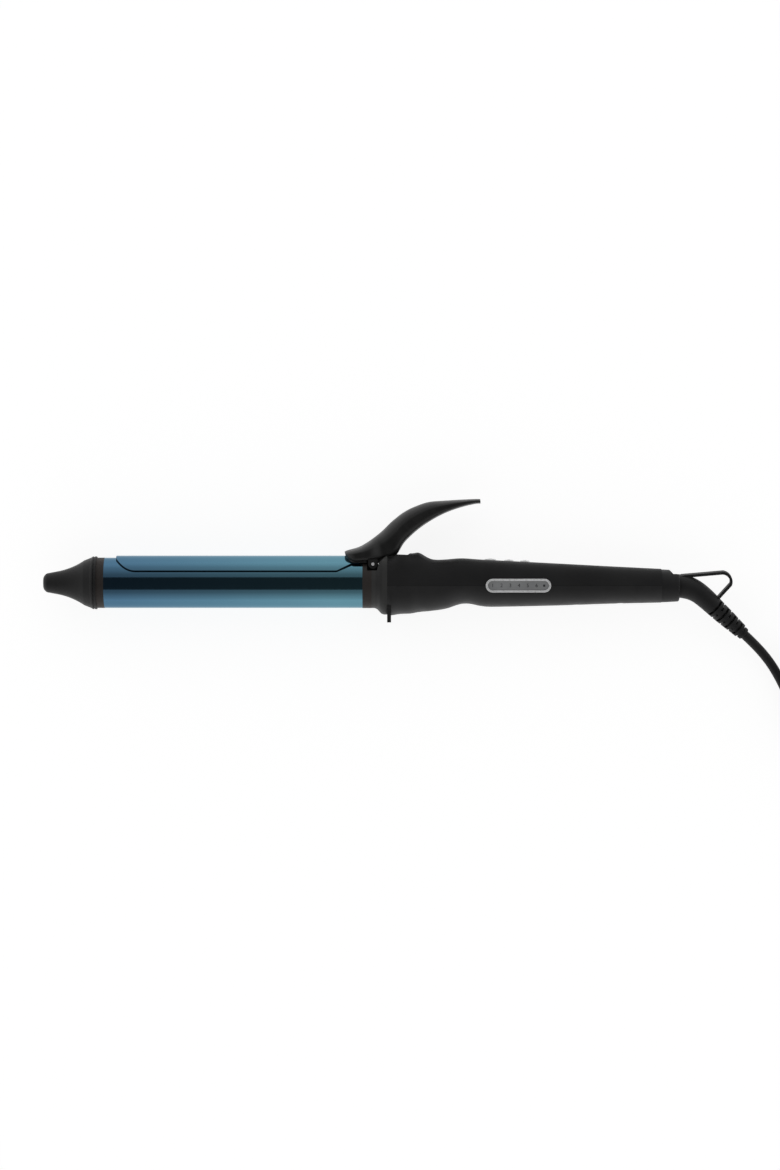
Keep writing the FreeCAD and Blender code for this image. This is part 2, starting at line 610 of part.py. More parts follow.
def make_hinge():
    """Steel bracket whose lugs carry the pin, its two screws and the double torsion spring."""
    plate = block("bracket_plate", ("bracket_start", "bracket_floor", "0 - lug_outer"),
                  ("bracket_end", "bracket_floor + bracket_thick", "lug_outer"))
    lugs = []
    for low, high in (("0 - lug_outer", "0 - lug_inner"), ("lug_inner", "lug_outer")):
        lugs.append(rod("lug_eye", "lug_radius", ("pin_station", "pin_side", low),
                        "lug_outer - lug_inner", "z"))
        lugs.append(block("lug_web", ("pin_station - lug_wide + 0.2", "bracket_floor", low),
                          ("pin_station + lug_wide", "pin_side", high)))
    hole = rod("lug_hole", "pin_hole", ("pin_station", "pin_side", -20), 40, "z")
    spots = ("0 - bracket_screw_side", "bracket_screw_side")
    bores = [rod("bracket_bore", 1.0, ("bracket_screw_station", 5, spot), 6, "y") for spot in spots]
    bracket = cut("bracket_cut", fused("bracket_blank", [plate] + lugs), [hole] + bores)
    add_sub_part(bracket, "hinge_bracket")
    screws = []
    for spot in spots:
        top = "bracket_floor + bracket_thick"
        head = rod("bracket_screw_head", 1.7, ("bracket_screw_station", top, spot), 1.1, "y")
        shank = rod("bracket_screw_shank", 1.0, ("bracket_screw_station", "bracket_floor - 1.7", spot),
                    2.8, "y")
        screws.append(fused("bracket_screw", [head, shank]))
    add_sub_part(grouped("bracket_screw_set", screws), "bracket_screws")

    make_spring()


def make_spring():
    """Double torsion spring of one wire: leg, coil, bridge under the plate, coil, leg."""
    pin = Vector(size("pin_station"), size("pin_side"), 0)
    wire = size("wire_radius")
    radius = size("coil_radius")
    pitch = 2 * wire + 0.15
    turns = 4
    steps = 10
    bridge_half = 1.2
    inner_along = Vector(0.55, 0.84, 0).normalize()
    outer_along = Vector(0.30, -0.95, 0).normalize()
    half = [Vector(radius, 0, bridge_half) + inner_along * 8.2]
    for step in range(turns * steps + 1):
        angle = -2 * math.pi * step / steps
        half.append(Vector(radius * math.cos(angle), radius * math.sin(angle),
                           bridge_half + pitch * step / steps))
    half.append(half[-1] + outer_along * 2.9)
    other = [Vector(point.x, point.y, -point.z) for point in half]
    spring = tube([pin + point for point in list(reversed(other)) + half], wire)
    add_sub_part(fixed("spring_shape", spring), "torsion_spring")


def make_housing():
    """Flared front housing with the lever's notch; its resting side is flat."""
    flats = block("housing_flats", (200, -40, "0 - side_flat"), (400, 40, 40))
    outer = shared("housing_outer", [form("housing_form", "housing"), flats])
    hollow = shared("housing_hollow", [
        form("housing_inner", "housing", -size("wall")),
        block("housing_low", ("housing_start + 2.2", -40, -30),
              ("handle_start + 1", "bracket_floor - 1.8", 30))])
    spigot_hole = rod("housing_spigot_hole", "collar_rear_radius", ("housing_start - 1", 0, 0), 5)
    notch = padded("lever_notch", [[
        (200, "bracket_floor"), ("notch_foot", "bracket_floor"), ("notch_foot + 1.2", 12.9), (217.8, 17.2),
        (218.8, 20.4), (218.8, 40), (200, 40)]], "XY_Plane", "0", 60, True)
    channel = block("housing_channel", ("housing_start - 1", "bracket_floor", "0 - channel_half"),
                    ("handle_start + 1", 40, "channel_half"))
    screw_holes = [rod("housing_screw_hole", 1.0, ("bracket_screw_station", 4, spot), 6, "y")
                   for spot in ("0 - bracket_screw_side", "bracket_screw_side")]
    tools = [hollow, spigot_hole, notch, channel] + screw_holes
    guards = cut("hinge_guards", padded("guard_blank", [[
        ("guard_start", "bracket_floor + 0.1"), ("guard_start", "guard_top"), (212.0, "guard_top"),
        (213.2, "guard_low"), ("handle_start", "guard_low - 0.4"), ("handle_start", "bracket_floor - 1"),
        ("housing_start", "bracket_floor - 1"), ("housing_start", "bracket_floor + 0.1")]],
        "XY_Plane", "0", "guard_outer + guard_outer", True), [
            block("guard_gap", (200, 0, "0 - guard_inner"), (220, 20, "guard_inner")),
            rod("guard_slot", "pin_radius + 0.3", ("pin_station", "pin_side", -20), 40, "z")])
    add_sub_part(fused("housing_whole", [cut("housing_cut", outer, tools), guards]), "front_housing")
    return flats


def plate_outline():
    """Stand plate seen along the iron: a tongue inside the handle and a tapering foot below it."""
    half = ["plate_tongue_half", "plate_tongue_half", "plate_shoulder_half", "plate_bottom_half + 0.6",
            "plate_bottom_half"]
    side = ["plate_top", "plate_shoulder + 0.7", "plate_shoulder", "plate_bottom + 1.2", "plate_bottom"]
    right = list(zip(side, half))
    left = [(height, less("0", wide)) for height, wide in reversed(right)]
    return right + left


def make_handle(flats):
    """Two handle shells with the lever's tub, bosses, display window and button holes."""
    stand = padded("stand", [plate_outline()], "YZ_Plane", "handle_start", "plate_thick")
    add_sub_part(stand, "stand_plate")
    rebate = padded("plate_rebate", [plate_outline()], "YZ_Plane", "handle_start", "plate_thick")
    thin = -size("wall")
    level = size("parting")
    upper_outer = shared("upper_outer", [half_form("upper_form", "handle", 0, level, True), flats])
    lower_outer = shared("lower_outer", [half_form("lower_form", "handle", 0, level, False), flats])
    upper_inner = half_form("upper_inner", "handle", thin, level - 1, True)
    lower_inner = half_form("lower_inner", "handle", thin, level + 1, False)
    window = padded("display_window", [capsule("display_mid", "display_side", "display_half_long",
                                               "display_half_high")], "XY_Plane", 6, 20)
    screws_at = (247.0, 338.0, 366.0)

    tub_end = "channel_end + tub_wall"
    tub = shared("lever_tub", [upper_outer, block(
        "tub_block", ("handle_start", "channel_floor - tub_wall", "0 - channel_half - tub_wall"),
        (tub_end, 40, "channel_half + tub_wall"))])
    recess = padded("lever_recess", [[
        (210, "recess_front"), ("handle_start", "recess_front"), ("channel_end", "recess_rear"),
        ("recess_end", "recess_rear + 2.6"), ("recess_end", 40), (210, 40)]], "XY_Plane", "0", 60, True)
    channel = padded("lever_channel", [[
        (210, "channel_floor"), ("channel_end", "channel_floor"),
        ("channel_end", "recess_rear"), ("recess_end", "recess_rear + 2.6"), ("recess_end", 40),
        (210, 40)]], "XY_Plane", "0", "channel_half + channel_half", True)
    upper_bosses = [rod("upper_boss", 2.8, (station, "parting", 0), 30, "y") for station in screws_at]
    pilots = [rod("boss_pilot", 1.1, (station, "parting - 1", 0), 8, "y") for station in screws_at]
    holes = [padded(name + "_hole", [capsule(name + "_mid", "0", name + "_half + button_gap",
                                             "button_half_wide + button_gap")], "XZ_Plane", -30, 20)
             for name in ("power", "up", "down")]
    hollow_upper = cut("upper_hollow", upper_outer, [upper_inner])
    bosses = shared("upper_bosses", [upper_outer, fused("upper_boss_set", upper_bosses)])
    upper = cut("upper_cut", fused("upper_full", [hollow_upper, tub, bosses]),
                [recess, channel, window] + pilots + holes)
    add_sub_part(upper, "handle_shell_upper")

    lower_bosses = shared("lower_bosses", [lower_outer, fused("lower_boss_set", [
        rod("lower_boss", 3.4, (station, -30, 0), "30 + parting", "y") for station in screws_at])])
    shanks = [rod("screw_way", 1.4, (station, -30, 0), 40, "y") for station in screws_at]
    heads = [rod("screw_seat", 2.5, (station, -30, 0), 24, "y") for station in screws_at]
    hollow_lower = cut("lower_hollow", lower_outer, [lower_inner])
    lower = cut("lower_cut", fused("lower_full", [hollow_lower, lower_bosses]),
                [rebate, window] + shanks + heads)
    add_sub_part(lower, "handle_shell_lower")
    screws = []
    for station in screws_at:
        head = rod("shell_screw_head", 2.4, (station, -8.2, 0), 2.2, "y")
        shank = rod("shell_screw_shank", 1.1, (station, -6, 0), 9.5, "y")
        screws.append(fused("shell_screw", [head, shank]))
    add_sub_part(grouped("shell_screw_set", screws), "shell_screws")


def make_display():
    """Bezel and lens flush with the handle's side, and the lit board behind them."""
    proud = form("proud_form", "handle", size("rim_proud"))
    sunk = form("sunk_form", "handle", -size("lens_sunk"))
    rim_outline = capsule("display_mid", "display_side", "display_half_long - 0.05",
                          "display_half_high - 0.05")
    glass_outline = capsule("display_mid", "display_side", "display_half_long - rim_wide",
                            "display_half_high - rim_wide")
    rim = padded("rim_prism", [rim_outline, glass_outline], "XY_Plane", 10.2, 8)
    add_sub_part(shared("rim_shape", [rim, proud]), "display_bezel")
    glass = padded("glass_prism", [glass_outline], "XY_Plane", 11.2, 8)
    add_sub_part(shared("glass_shape", [glass, sunk]), "display_lens")
    board = block("display_plate", ("display_mid - display_half_long + 1.2", -5.6, 8.8),
                  ("display_mid + display_half_long - 1.2", 2.0, 10.0))
    add_sub_part(grouped("display_board_set", [board]), "display_board")
    lamps = [block("display_led", (287.0 + 4.4 * index, -2.9, 10.0), (289.2 + 4.4 * index, -0.7, 10.9))
             for index in range(7)]
    add_sub_part(grouped("display_led_set", lamps), "display_leds")


def make_controls():
    """Control board with its switches, and the three buttons above them."""
    board = block("board_plate", ("board_start", "board_low", "0 - board_half"),
                  ("board_end", "board_high", "board_half"))
    parts = [block("relay", (309, 0.2, -6), (321, "board_low", 2)),
             block("capacitor", (291, 1.2, -6), (299, "board_low", -1)),
             block("controller", (300, "board_low - 1.4", 1), (307, "board_low", 6))]
    add_sub_part(fused("board_set", [board] + parts), "control_board")
    switches = []
    for name in ("power", "up", "down"):
        mid = name + "_mid"
        case = block("switch_case", (mid + " - 3", "board_high", -3), (mid + " + 3", "board_high + 1.8", 3))
        plunger = rod("switch_plunger", 1.4, (mid, "board_high + 1.8", 0),
                      "plunger_top - board_high - 1.8", "y")
        switches.append(fused("switch", [case, plunger]))
    add_sub_part(grouped("switch_set", switches), "tact_switches")
    for name in ("power", "up", "down"):
        mid, half, top, flange = (name + "_mid", name + "_half", name + "_top", name + "_flange")
        cap = padded(name + "_cap", [capsule(mid, "0", half, "button_half_wide")], "XZ_Plane",
                     "0 - " + top, top + " - " + flange)
        lip = padded(name + "_lip", [capsule(
            mid, "0", half + " + button_flange", "button_half_wide + button_flange")], "XZ_Plane",
            "0 - " + flange, "button_flange_thick")
        stem = rod(name + "_stem", 1.3, (mid, "stem_bottom", 0), flange + " - stem_bottom", "y")
        edge = doc.addObject("Part::Chamfer", name + "_edge")
        doc.recompute()
        edge.Base = cap
        high = number(top)
        edge.Edges = [(index + 1, 0.35, 0.35) for index, rim in enumerate(cap.Shape.Edges)
                      if all(abs(vertex.Y - high) < 1e-6 for vertex in rim.Vertexes)]
        add_sub_part(fused(name + "_set", [edge, lip, stem]), name + "_button")


def make_tail():
    """Tail cap, the swivel that the cord leaves through, and its sliding contacts."""
    cap = turned("cap_blank", [
        ("cap_spigot_start", "cap_spigot_bore"), ("cap_spigot_start", "cap_spigot"),
        ("handle_end", "cap_spigot"), ("handle_end", "cap_radius + 0.2"),
        ("cap_end - 1.2", "cap_radius - 0.3", "cap_end - 0.4", "cap_radius - 0.6"),
        ("cap_end", "cap_radius - 1.3"), ("cap_end", "cap_bore"), ("cap_lip_end", "cap_bore"),
        ("cap_lip_end", "cap_lip"), ("handle_end", "cap_lip"), ("handle_end", "cap_spigot_bore")])
    slant = padded("cap_slant", [[
        ("handle_end + 4.8", 10.7), ("handle_end + 7.5", 7.4), ("cap_end + 1", 7.4),
        ("cap_end + 1", 12), ("handle_end + 4.8", 12)]], "XY_Plane", "0", 40, True)
    tail = cut("tail_cap_cut", cap, [slant])
    add_sub_part(tail, "tail_cap", "tail")
    core = turned("swivel_core", [
        ("core_start", "0"), ("core_start", "spindle_radius"), ("flange_start", "spindle_radius"),
        ("flange_start", "flange_radius"), ("flange_end", "flange_radius"),
        ("flange_end", "core_neck"), ("relief_start", "core_neck"), ("relief_start", "core_spigot"),
        ("core_end", "core_spigot"), ("core_end", "0")])
    add_sub_part(core, "swivel_core", "swivel")
    for name, start in (("contact_ring_live", "live_start"), ("contact_ring_neutral", "neutral_start")):
        end = start + " + track_long"
        ring = turned(name, [(start, "spindle_radius"), (start, "track_radius"), (end, "track_radius"),
                             (end, "spindle_radius")])
        add_sub_part(ring, name, "swivel")
    holder = turned("brush_holder", [
        ("brush_start", "block_bore"), ("brush_start", "block_radius"),
        ("brush_end", "block_radius"), ("brush_end", "block_bore")])
    ways = [block("brush_way", (start + " + 0.5", 0, "0 - brush_half"),
                  (start + " + track_long - 0.5", 12, "brush_half"))
            for start in ("live_start", "neutral_start")]
    add_sub_part(cut("brush_block_cut", holder, ways), "brush_block", "tail")
    brushes = [block("brush", (start + " + 0.5", "track_radius + 0.06", "0 - brush_half"),
                     (start + " + track_long - 0.5", "block_radius", "brush_half"))
               for start in ("live_start", "neutral_start")]
    add_sub_part(grouped("brush_set", brushes), "contact_brushes", "tail")
    leads("supply_leads", [
        [(station, 6.7, 0), (370, 6.68, side * 0.6), (352, 6.4, side), (337, 6.2, side),
         (326.1, 5.9, side)] for station, side in ((377.5, 4.9), (382.5, -4.9))], 0.4)


def relief_spine(distance):
    """Point and direction on the strain relief's centre line, a distance after its bend starts."""
    bend = size("relief_bend")
    full = math.radians(size("relief_angle"))
    angle = min(distance / bend, full)
    along = Vector(math.cos(angle), -math.sin(angle), 0)
    point = Vector(size("relief_bend_start") + bend * math.sin(angle), bend * (math.cos(angle) - 1), 0)
    return point + along * max(0.0, distance - bend * full), along


def relief_shape():
    """Outer shape of the strain relief: its stem, its bent taper and the rounded ring at its end."""
    bend_end = size("relief_bend") * math.radians(size("relief_angle"))
    taper_end = bend_end + size("relief_straight") - size("ring_long")
    full = size("relief_radius")
    thinner = ((0, 0), (5, 0.15), (11, 0.5), (bend_end, 0.95), (bend_end + 12, 1.5),
               (bend_end + 24, 2.2), (taper_end - 4, 2.75), (taper_end, 2.85))
    rings = []
    for distance, less_radius in thinner:
        point, along = relief_spine(distance)
        rings.append(Part.Wire([Part.Circle(point, along, full - less_radius).toShape()]))
    start = Vector(size("relief_start"), 0, 0)
    stem_long = size("relief_bend_start") - size("relief_start")
    stem = Part.makeCylinder(full, stem_long, start, Vector(1, 0, 0))
    point, along = relief_spine(taper_end)
    ring = Part.makeCylinder(size("end_ring_radius"), size("ring_long"), point, along)
    end_edge = max((edge for edge in ring.Edges if edge.Closed), key=lambda edge: edge.CenterOfMass.x)
    ring = ring.makeFillet(size("ring_rounding"), [end_edge])
    return Part.makeLoft(rings, True, False).fuse([stem, ring])


def relief_slot(index):
    """One of the slots, cut in from two opposite sides; each is a quarter turn from the last."""
    bend_end = size("relief_bend") * math.radians(size("relief_angle"))
    thick = size("slot_wide")
    last = bend_end + size("relief_straight") - size("ring_long") - thick
    start, along = relief_spine(last - size("slot_pitch") * index)
    disc = Part.makeCylinder(size("relief_radius") + 2, thick, start, along)
    core = Part.makeCylinder(size("slot_core") + 0.06 * index, thick, start, along)
    bridge_wide = size("slot_bridge")
    bridge = Part.makeBox(30, bridge_wide, thick, Vector(-15, -bridge_wide / 2, 0))
    rotation = Rotation(Vector(0, 0, 1), along)
    across = rotation.multVec(Vector(1, 0, 0))
    lean = math.degrees(across.getAngle(Vector(0, 0, 1)))
    if across.cross(Vector(0, 0, 1)).dot(along) < 0:
        lean = -lean
    rotation = rotation.multiply(Rotation(Vector(0, 0, 1), lean + (90 if index % 2 else 0)))
    bridge.Placement = Placement(start, rotation)
    return disc.cut([core, bridge])


def make_relief():
    """Strain relief moulded over the swivel's end, and the hang loop on it."""
    socket = rod("relief_socket", "core_spigot", ("relief_start", 0, 0), "core_end - relief_start")
    slots = fixed("relief_slots", Part.makeCompound([relief_slot(index) for index in range(8)]))
    relief = cut("relief_cut", fixed("relief_full", relief_shape()), [socket])
    add_sub_part(cut("relief_slotted", relief, [slots]), "strain_relief", "swivel")
    strap = padded("hang_strap", [[
        (404.6, 7.3), (431.5, 9.7, 436.2, 6.8), (437.0, 0.6), (429.0, -8.6), (427.64, -7.42),
        (435.64, 1.78, 434.7, 5.9), (430.9, 7.85), (404.6, 5.5)]],
        "XY_Plane", "0", "strap_half + strap_half", True)
    add_sub_part(cut("hang_loop_cut", strap, [fixed("strap_tool", relief_shape())]), "hang_loop", "swivel")


def relief_exit():
    """Where the cord leaves the strain relief, with heights from the surface, and its direction."""
    length = size("relief_bend") * math.radians(size("relief_angle")) + size("relief_straight")
    point, along = relief_spine(length)
    droop = Rotation(Vector(1, 0, 0), size("droop"))
    lifted = Vector(0, size("swivel_side"), size("axis_height"))
    return droop.multVec(point) + lifted, droop.multVec(along)


def make_cord():
    """Power cord: the run from the strain relief to the coil, the coil, its tie and the plug."""
    exit_point, along = relief_exit()
    start = exit_point + along * 0.05
    ahead = exit_point + along * 9
    run = [tuple(start), tuple(ahead), (461.9, -49.6, 5.4), (469.0, -61.2, 4.3),
           (475.0, -74.2, 4.0), (478.6, -87.2, 4.0)]
    add_sub_part(fixed("cord_run_shape", tube(run, size("cord_radius"))), "cord_run", "surface")

    coil = cut("coil_ring", rod("coil_full", "coil_outer", ("coil_station", "coil_side", "coil_low"),
                                "coil_high - coil_low", "z"),
               [rod("coil_hole", "coil_inner", ("coil_station", "coil_side", "coil_low - 1"),
                    "coil_high - coil_low + 2", "z")])
    add_sub_part(coil, "cord_coil", "surface")
    gap = 0.1
    tie_high = "coil_high + tie_thick + %g" % gap
    outside = block("tie_outside", (
        "coil_station - tie_half", "coil_side + coil_inner - tie_thick - 0.2", 0),
        ("coil_station + tie_half", "coil_side + coil_outer + tie_thick + 0.2", tie_high))
    inside = block("tie_inside", (
        "coil_station - tie_half - 1", "coil_side + coil_inner - 0.2 - 0.2", "tie_thick"),
        ("coil_station + tie_half + 1", "coil_side + coil_outer + 0.2", "coil_high + %g" % gap))
    add_sub_part(cut("tie_band", outside, [inside]), "cord_tie", "surface")

    end = [(556.5, -52.0, 15.5), (559.3, -40.0, 13.2), (561.3, -29.5, 10.0), (562.0, -20.5, 7.9),
           (562.0, -12.25, 7.4)]
    add_sub_part(fixed("cord_end_shape", tube(end, size("cord_radius"))), "cord_end", "surface")
    make_plug()


def make_plug():
    """Moulded two-blade plug with its own taper, lying beside the coil."""
    rows = read_rows("plug")
    sections = []
    for along, wide, high, power in even_rows(rows, [row[0] for row in rows], 2.5):
        oval = (Vector(0, along, 0), Vector(0, 0, 1), Vector(1, 0, 0), high, wide, (power, power))
        sections.append(whole_section(oval))
    body = Part.makeLoft(sections, True, False)
    lift = Vector(size("plug_station"), size("plug_side"), size("plug_height"))
    body.translate(lift - Vector(0, 20, 0))
    body = fixed("plug_shape", body)
    blades = []
    sockets = []
    for side in (-1, 1):
        for items, length in ((blades, 17.0), (sockets, 0.0)):
            low = ("plug_station - %g" % (0.75 - side * 6.35), "plug_side + 8", "plug_height - 3.15")
            high = ("plug_station + %g" % (0.75 + side * 6.35), "plug_side + %g" % (16 + length),
                    "plug_height + 3.15")
            items.append(block("plug_blade", low, high))
    add_sub_part(cut("plug_cut", body, sockets), "plug_body", "surface")
    add_sub_part(grouped("plug_blade_set", blades), "plug_blades", "surface")


def check_and_write():
    """Recompute, look at every object's state and every shape, and write one file per piece."""
    doc.recompute()
    for item in doc.Objects:
        bad = [word for word in item.State if word in ("Invalid", "Error")]
        if bad:
            raise RuntimeError("%s (%s) is %s" % (item.Name, item.Label, bad))
    for item in sub_parts:
        shape = item.Shape
        if shape.isNull() or not shape.isValid() or not shape.Solids:
            raise RuntimeError("%s has no valid solid" % item.Label)
    os.makedirs("parts", exist_ok=True)
    for item in sub_parts:
        item.Shape.exportStep("parts/%s.step" % item.Label)
    print("%d pieces written" % len(sub_parts))


fill_sheet()
make_tip()
make_barrel()
make_heat()
make_clamp()
make_hinge()
make_handle(make_housing())
make_display()
make_controls()
make_tail()
make_relief()
make_cord()
check_and_write()
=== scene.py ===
import json
import math
import bmesh
import bpy
from mathutils import Matrix, Vector
from mathutils.bvhtree import BVHTree


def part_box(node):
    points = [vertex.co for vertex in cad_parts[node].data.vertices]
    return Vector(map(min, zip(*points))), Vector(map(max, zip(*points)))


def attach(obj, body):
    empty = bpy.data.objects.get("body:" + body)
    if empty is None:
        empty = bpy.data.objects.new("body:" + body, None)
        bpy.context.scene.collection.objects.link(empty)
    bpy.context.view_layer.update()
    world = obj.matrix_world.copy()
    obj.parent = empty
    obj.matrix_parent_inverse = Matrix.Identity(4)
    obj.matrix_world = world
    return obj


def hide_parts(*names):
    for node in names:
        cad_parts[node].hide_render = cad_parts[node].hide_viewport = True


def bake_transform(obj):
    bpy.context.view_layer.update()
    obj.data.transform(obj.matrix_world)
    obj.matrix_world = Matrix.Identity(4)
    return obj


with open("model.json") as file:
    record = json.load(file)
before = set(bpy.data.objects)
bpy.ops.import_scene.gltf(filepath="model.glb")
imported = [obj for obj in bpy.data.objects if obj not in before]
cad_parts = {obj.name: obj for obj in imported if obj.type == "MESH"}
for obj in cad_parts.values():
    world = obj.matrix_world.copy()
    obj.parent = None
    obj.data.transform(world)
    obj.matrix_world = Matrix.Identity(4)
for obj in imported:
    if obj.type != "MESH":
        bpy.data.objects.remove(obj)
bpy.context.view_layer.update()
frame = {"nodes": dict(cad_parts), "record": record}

NODES = frame["nodes"]
UP = Vector((0, 0, 1))
RANGE_SOCKETS = ("From Min", "From Max", "To Min", "To Max")
CORNERS = ((-1, -1), (1, -1), (1, 1), (-1, 1))
MID_STATION = 224.1
MID_SIDE = 7.6
AXIS_HEIGHT = 16.8
DISPLAY_SIDE = -1.8
HIGH_ABOVE = 30
PLUG_STATION = 562.0
PLUG_REAR_SIDE = 2.0
PLUG_HEIGHT = 7.4


# ---- places, in mm: along the iron from its tip, across it, and up from the surface ----

def at(station, side, height):
    """Point of the frame in metres."""
    return Vector((station - MID_STATION, side - MID_SIDE, height)) / 1000


# ---- camera, floor and light ----

def make_camera():
    """Long lens straight above the iron."""
    data = bpy.data.cameras.new("camera")
    data.sensor_fit = "VERTICAL"
    data.sensor_height = 36
    data.lens = 115.8
    data.clip_end = 20
    camera = bpy.data.objects.new("camera", data)
    camera.location = at(220.02, -1.4, 2407)
    bpy.context.scene.collection.objects.link(camera)
    bpy.context.scene.camera = camera
    bpy.context.scene.view_settings.view_transform = "Standard"


def make_light():
    """Bright studio all round, dimmer towards the top, with a dark gap nearly straight overhead."""
    world = bpy.data.worlds.new("studio")
    world.use_nodes = True
    bpy.context.scene.world = world
    nodes = world.node_tree.nodes
    links = world.node_tree.links
    where = nodes.new("ShaderNodeTexCoord")
    gap_lean = math.radians(3.3)
    toward_gap = nodes.new("ShaderNodeVectorMath")
    toward_gap.operation = "DOT_PRODUCT"
    toward_gap.inputs[1].default_value = (0, -math.sin(gap_lean), math.cos(gap_lean))
    links.new(where.outputs["Generated"], toward_gap.inputs[0])
    ramp = nodes.new("ShaderNodeValToRGB")
    links.new(toward_gap.outputs["Value"], ramp.inputs[0])
    # cosine of the angle from the gap's middle, and brightness there
    stops = ((0.0, 0.95), (0.12, 0.85), (0.27, 0.70), (0.45, 0.60), (0.61, 0.47), (0.744, 0.33),
             (0.868, 0.29), (0.884, 0.045), (1.0, 0.045))
    while len(ramp.color_ramp.elements) < len(stops):
        ramp.color_ramp.elements.new(0.5)
    for element, (place, value) in zip(ramp.color_ramp.elements, stops):
        element.position = place
        element.color = (value, value, value, 1)
    background = nodes["Background"]
    links.new(ramp.outputs[0], background.inputs["Color"])
    sides = nodes.new("ShaderNodeSeparateXYZ")
    links.new(where.outputs["Generated"], sides.inputs[0])
    dimmer = nodes.new("ShaderNodeMapRange")
    links.new(sides.outputs["Y"], dimmer.inputs["Value"])
    for socket, number in zip(RANGE_SOCKETS, (-1, 1, 1.2, 1.0)):
        dimmer.inputs[socket].default_value = number
    links.new(dimmer.outputs["Result"], background.inputs["Strength"])


def make_floor(material):
    """Plain pale floor under everything."""
    data = bpy.data.meshes.new("floor")
    half = 3.0
    data.from_pydata([(-half, -half, 0), (half, -half, 0), (half, half, 0), (-half, half, 0)],
                     [], [(0, 1, 2, 3)])
    floor = bpy.data.objects.new("floor", data)
    bpy.context.scene.collection.objects.link(floor)
    data.materials.append(material)


# ---- materials ----

class Look:
    """A procedural material: one Principled shader whose inputs are driven by textures."""

    def __init__(self, name, colour, rough, metal=0.0):
        self.material = bpy.data.materials.new(name)
        self.material.use_nodes = True
        self.nodes = self.material.node_tree.nodes
        self.links = self.material.node_tree.links
        self.shader = self.nodes["Principled BSDF"]
        self.set("Base Color", (*colour, 1))
        self.set("Roughness", rough)
        self.set("Metallic", metal)
        self.place = self.nodes.new("ShaderNodeTexCoord").outputs["Object"]
        self.bumped = None

    def set(self, socket, value):
        self.shader.inputs[socket].default_value = value

    def stretched(self, stretch):
        """Object coordinates, scaled by axis."""
        mapping = self.nodes.new("ShaderNodeMapping")
        self.links.new(self.place, mapping.inputs["Vector"])
        mapping.inputs["Scale"].default_value = stretch
        return mapping.outputs["Vector"]

    def noise(self, scale, detail=2.0, stretch=(1, 1, 1)):
        texture = self.nodes.new("ShaderNodeTexNoise")
        texture.inputs["Scale"].default_value = scale
        texture.inputs["Detail"].default_value = detail
        self.links.new(self.stretched(stretch), texture.inputs["Vector"])
        return texture.outputs["Fac"]

    def along(self, axis, low, high):
        """0 to 1 between two places on an axis."""
        split = self.nodes.new("ShaderNodeSeparateXYZ")
        self.links.new(self.place, split.inputs[0])
        return self.remap(split.outputs[axis], low, high, 0, 1)

    def remap(self, value, low, high, to_low, to_high):
        node = self.nodes.new("ShaderNodeMapRange")
        self.links.new(value, node.inputs["Value"])
        for socket, number in zip(RANGE_SOCKETS, (low, high, to_low, to_high)):
            node.inputs[socket].default_value = number
        return node.outputs["Result"]

    def mix(self, factor, first, second):
        """Colour between two, each a colour or an output."""
        node = self.nodes.new("ShaderNodeMix")
        node.data_type = "RGBA"
        self.links.new(factor, node.inputs["Factor"])
        for socket, value in zip((node.inputs[6], node.inputs[7]), (first, second)):
            if isinstance(value, tuple):
                socket.default_value = (*value, 1)
            else:
                self.links.new(value, socket)
        return node.outputs[2]

    def colour(self, output):
        self.links.new(output, self.shader.inputs["Base Color"])

    def rough(self, factor, low, high):
        self.links.new(self.remap(factor, 0.35, 0.65, low, high), self.shader.inputs["Roughness"])

    def bump(self, height, strength, distance):
        node = self.nodes.new("ShaderNodeBump")
        node.inputs["Strength"].default_value = strength
        node.inputs["Distance"].default_value = distance
        self.links.new(height, node.inputs["Height"])
        if self.bumped:
            self.links.new(self.bumped, node.inputs["Normal"])
        self.bumped = node.outputs["Normal"]
        self.links.new(self.bumped, self.shader.inputs["Normal"])


SATIN_BLACK = (0.021, 0.021, 0.0215)


def moulded(name, colour, rough, grain=2600, depth=0.00002, strength=0.25, shine=0.16):
    """Moulded plastic or rubber with a fine spark-eroded grain."""
    look = Look(name, colour, rough)
    look.set("Specular IOR Level", shine)
    patchy = look.noise(45, 3)
    lighter = tuple(channel * 1.35 for channel in colour)
    look.colour(look.mix(look.remap(patchy, 0.3, 0.7, 0, 1), colour, lighter))
    look.rough(look.noise(160, 4), rough - 0.05, rough + 0.05)
    look.bump(look.noise(grain, 2), strength, depth)
    return look.material


def brushed(name, colour, rough, stretch, metal=1.0):
    """Metal with fine drawn lines."""
    look = Look(name, colour, rough, metal)
    lines = look.noise(900, 3, stretch)
    darker = tuple(channel * 0.8 for channel in colour)
    look.colour(look.mix(look.remap(lines, 0.3, 0.7, 0, 1), darker, colour))
    look.rough(lines, rough - 0.04, rough + 0.06)
    look.bump(lines, 0.12, 0.00001)
    return look.material


def painted_glow(material, strength):
    """The material with a faint even glow: painted light, since the part it goes on is no lamp."""
    shader = material.node_tree.nodes["Principled BSDF"]
    shader.inputs["Emission Color"].default_value = (1, 1, 1, 1)
    shader.inputs["Emission Strength"].default_value = strength
    return material


